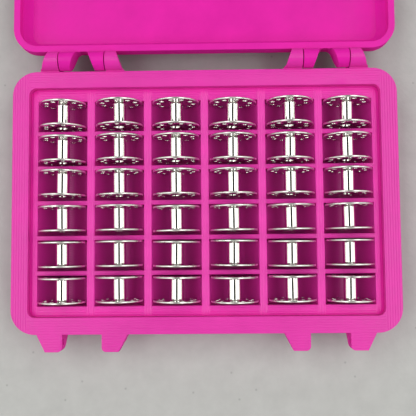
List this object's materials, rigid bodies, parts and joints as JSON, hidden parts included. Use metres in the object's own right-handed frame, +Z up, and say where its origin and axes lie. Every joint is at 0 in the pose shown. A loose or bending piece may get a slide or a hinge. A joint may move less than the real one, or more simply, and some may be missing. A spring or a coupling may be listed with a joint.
{
  "type": "bobbin storage case",
  "caption": "Open hinged case with a drop-in tray of round-bottomed pockets, a pierced metal sewing bobbin in each, a shallow bevelled lid and swinging latches.",
  "frame": {"origin": "centre of the base's underside, on the table", "axes": "+X to the right along the hinge axis, +Y from the front of the base toward the hinges and the open lid, +Z up"},
  "size_m": [0.1678, 0.2586, 0.0237],
  "materials": {
    "case_plastic": "satin, printed in fine layers",
    "tray_plastic": "satin, printed in fine layers",
    "nickel_plate": "polished plate",
    "pin_steel": "drawn"
  },
  "bodies": {
    "base": {"base_case": "case_plastic", "bobbin_tray": "tray_plastic", "hinge_pin_left_left": "pin_steel", "hinge_pin_left_right": "pin_steel", "hinge_pin_right_left": "pin_steel", "hinge_pin_right_right": "pin_steel"},
    "lid": {"lid": "case_plastic", "latch_pin_left": "pin_steel", "latch_pin_right": "pin_steel"},
    "latch_left": {"latch_left": "case_plastic"},
    "latch_right": {"latch_right": "case_plastic"},
    "bobbin_r1c1": {"bobbin_r1c1": "nickel_plate"},
    "bobbin_r1c2": {"bobbin_r1c2": "nickel_plate"},
    "bobbin_r1c3": {"bobbin_r1c3": "nickel_plate"},
    "bobbin_r1c4": {"bobbin_r1c4": "nickel_plate"},
    "bobbin_r1c5": {"bobbin_r1c5": "nickel_plate"},
    "bobbin_r1c6": {"bobbin_r1c6": "nickel_plate"},
    "bobbin_r2c1": {"bobbin_r2c1": "nickel_plate"},
    "bobbin_r2c2": {"bobbin_r2c2": "nickel_plate"},
    "bobbin_r2c3": {"bobbin_r2c3": "nickel_plate"},
    "bobbin_r2c4": {"bobbin_r2c4": "nickel_plate"},
    "bobbin_r2c5": {"bobbin_r2c5": "nickel_plate"},
    "bobbin_r2c6": {"bobbin_r2c6": "nickel_plate"},
    "bobbin_r3c1": {"bobbin_r3c1": "nickel_plate"},
    "bobbin_r3c2": {"bobbin_r3c2": "nickel_plate"},
    "bobbin_r3c3": {"bobbin_r3c3": "nickel_plate"},
    "bobbin_r3c4": {"bobbin_r3c4": "nickel_plate"},
    "bobbin_r3c5": {"bobbin_r3c5": "nickel_plate"},
    "bobbin_r3c6": {"bobbin_r3c6": "nickel_plate"},
    "bobbin_r4c1": {"bobbin_r4c1": "nickel_plate"},
    "bobbin_r4c2": {"bobbin_r4c2": "nickel_plate"},
    "bobbin_r4c3": {"bobbin_r4c3": "nickel_plate"},
    "bobbin_r4c4": {"bobbin_r4c4": "nickel_plate"},
    "bobbin_r4c5": {"bobbin_r4c5": "nickel_plate"},
    "bobbin_r4c6": {"bobbin_r4c6": "nickel_plate"},
    "bobbin_r5c1": {"bobbin_r5c1": "nickel_plate"},
    "bobbin_r5c2": {"bobbin_r5c2": "nickel_plate"},
    "bobbin_r5c3": {"bobbin_r5c3": "nickel_plate"},
    "bobbin_r5c4": {"bobbin_r5c4": "nickel_plate"},
    "bobbin_r5c5": {"bobbin_r5c5": "nickel_plate"},
    "bobbin_r5c6": {"bobbin_r5c6": "nickel_plate"},
    "bobbin_r6c1": {"bobbin_r6c1": "nickel_plate"},
    "bobbin_r6c2": {"bobbin_r6c2": "nickel_plate"},
    "bobbin_r6c3": {"bobbin_r6c3": "nickel_plate"},
    "bobbin_r6c4": {"bobbin_r6c4": "nickel_plate"},
    "bobbin_r6c5": {"bobbin_r6c5": "nickel_plate"},
    "bobbin_r6c6": {"bobbin_r6c6": "nickel_plate"}
  },
  "joints": [
    {"name": "lid_hinge", "type": "hinge", "parent": "base", "child": "lid", "pos_m": [0, 0.06165, 0.01705], "axis": [-1, 0, 0], "range_deg": [-180.8, 0]},
    {"name": "latch_left_swing", "type": "hinge", "parent": "lid", "child": "latch_left", "pos_m": [-0.0531, 0.18369, 0.012], "axis": [-1, 0, 0], "range_deg": [-118.88, 0]},
    {"name": "latch_right_swing", "type": "hinge", "parent": "lid", "child": "latch_right", "pos_m": [0.0531, 0.18369, 0.012], "axis": [-1, 0, 0], "range_deg": [-118.88, 0]},
    {"name": "lift_r1c1", "type": "slide", "parent": "base", "child": "bobbin_r1c1", "axis": [0, 0, 1], "range_m": [0, 0.025]},
    {"name": "lift_r1c2", "type": "slide", "parent": "base", "child": "bobbin_r1c2", "axis": [0, 0, 1], "range_m": [0, 0.025]},
    {"name": "lift_r1c3", "type": "slide", "parent": "base", "child": "bobbin_r1c3", "axis": [0, 0, 1], "range_m": [0, 0.025]},
    {"name": "lift_r1c4", "type": "slide", "parent": "base", "child": "bobbin_r1c4", "axis": [0, 0, 1], "range_m": [0, 0.025]},
    {"name": "lift_r1c5", "type": "slide", "parent": "base", "child": "bobbin_r1c5", "axis": [0, 0, 1], "range_m": [0, 0.025]},
    {"name": "lift_r1c6", "type": "slide", "parent": "base", "child": "bobbin_r1c6", "axis": [0, 0, 1], "range_m": [0, 0.025]},
    {"name": "lift_r2c1", "type": "slide", "parent": "base", "child": "bobbin_r2c1", "axis": [0, 0, 1], "range_m": [0, 0.025]},
    {"name": "lift_r2c2", "type": "slide", "parent": "base", "child": "bobbin_r2c2", "axis": [0, 0, 1], "range_m": [0, 0.025]},
    {"name": "lift_r2c3", "type": "slide", "parent": "base", "child": "bobbin_r2c3", "axis": [0, 0, 1], "range_m": [0, 0.025]},
    {"name": "lift_r2c4", "type": "slide", "parent": "base", "child": "bobbin_r2c4", "axis": [0, 0, 1], "range_m": [0, 0.025]},
    {"name": "lift_r2c5", "type": "slide", "parent": "base", "child": "bobbin_r2c5", "axis": [0, 0, 1], "range_m": [0, 0.025]},
    {"name": "lift_r2c6", "type": "slide", "parent": "base", "child": "bobbin_r2c6", "axis": [0, 0, 1], "range_m": [0, 0.025]},
    {"name": "lift_r3c1", "type": "slide", "parent": "base", "child": "bobbin_r3c1", "axis": [0, 0, 1], "range_m": [0, 0.025]},
    {"name": "lift_r3c2", "type": "slide", "parent": "base", "child": "bobbin_r3c2", "axis": [0, 0, 1], "range_m": [0, 0.025]},
    {"name": "lift_r3c3", "type": "slide", "parent": "base", "child": "bobbin_r3c3", "axis": [0, 0, 1], "range_m": [0, 0.025]},
    {"name": "lift_r3c4", "type": "slide", "parent": "base", "child": "bobbin_r3c4", "axis": [0, 0, 1], "range_m": [0, 0.025]},
    {"name": "lift_r3c5", "type": "slide", "parent": "base", "child": "bobbin_r3c5", "axis": [0, 0, 1], "range_m": [0, 0.025]},
    {"name": "lift_r3c6", "type": "slide", "parent": "base", "child": "bobbin_r3c6", "axis": [0, 0, 1], "range_m": [0, 0.025]},
    {"name": "lift_r4c1", "type": "slide", "parent": "base", "child": "bobbin_r4c1", "axis": [0, 0, 1], "range_m": [0, 0.025]},
    {"name": "lift_r4c2", "type": "slide", "parent": "base", "child": "bobbin_r4c2", "axis": [0, 0, 1], "range_m": [0, 0.025]},
    {"name": "lift_r4c3", "type": "slide", "parent": "base", "child": "bobbin_r4c3", "axis": [0, 0, 1], "range_m": [0, 0.025]},
    {"name": "lift_r4c4", "type": "slide", "parent": "base", "child": "bobbin_r4c4", "axis": [0, 0, 1], "range_m": [0, 0.025]},
    {"name": "lift_r4c5", "type": "slide", "parent": "base", "child": "bobbin_r4c5", "axis": [0, 0, 1], "range_m": [0, 0.025]},
    {"name": "lift_r4c6", "type": "slide", "parent": "base", "child": "bobbin_r4c6", "axis": [0, 0, 1], "range_m": [0, 0.025]},
    {"name": "lift_r5c1", "type": "slide", "parent": "base", "child": "bobbin_r5c1", "axis": [0, 0, 1], "range_m": [0, 0.025]},
    {"name": "lift_r5c2", "type": "slide", "parent": "base", "child": "bobbin_r5c2", "axis": [0, 0, 1], "range_m": [0, 0.025]},
    {"name": "lift_r5c3", "type": "slide", "parent": "base", "child": "bobbin_r5c3", "axis": [0, 0, 1], "range_m": [0, 0.025]},
    {"name": "lift_r5c4", "type": "slide", "parent": "base", "child": "bobbin_r5c4", "axis": [0, 0, 1], "range_m": [0, 0.025]},
    {"name": "lift_r5c5", "type": "slide", "parent": "base", "child": "bobbin_r5c5", "axis": [0, 0, 1], "range_m": [0, 0.025]},
    {"name": "lift_r5c6", "type": "slide", "parent": "base", "child": "bobbin_r5c6", "axis": [0, 0, 1], "range_m": [0, 0.025]},
    {"name": "lift_r6c1", "type": "slide", "parent": "base", "child": "bobbin_r6c1", "axis": [0, 0, 1], "range_m": [0, 0.025]},
    {"name": "lift_r6c2", "type": "slide", "parent": "base", "child": "bobbin_r6c2", "axis": [0, 0, 1], "range_m": [0, 0.025]},
    {"name": "lift_r6c3", "type": "slide", "parent": "base", "child": "bobbin_r6c3", "axis": [0, 0, 1], "range_m": [0, 0.025]},
    {"name": "lift_r6c4", "type": "slide", "parent": "base", "child": "bobbin_r6c4", "axis": [0, 0, 1], "range_m": [0, 0.025]},
    {"name": "lift_r6c5", "type": "slide", "parent": "base", "child": "bobbin_r6c5", "axis": [0, 0, 1], "range_m": [0, 0.025]},
    {"name": "lift_r6c6", "type": "slide", "parent": "base", "child": "bobbin_r6c6", "axis": [0, 0, 1], "range_m": [0, 0.025]}
  ]
}
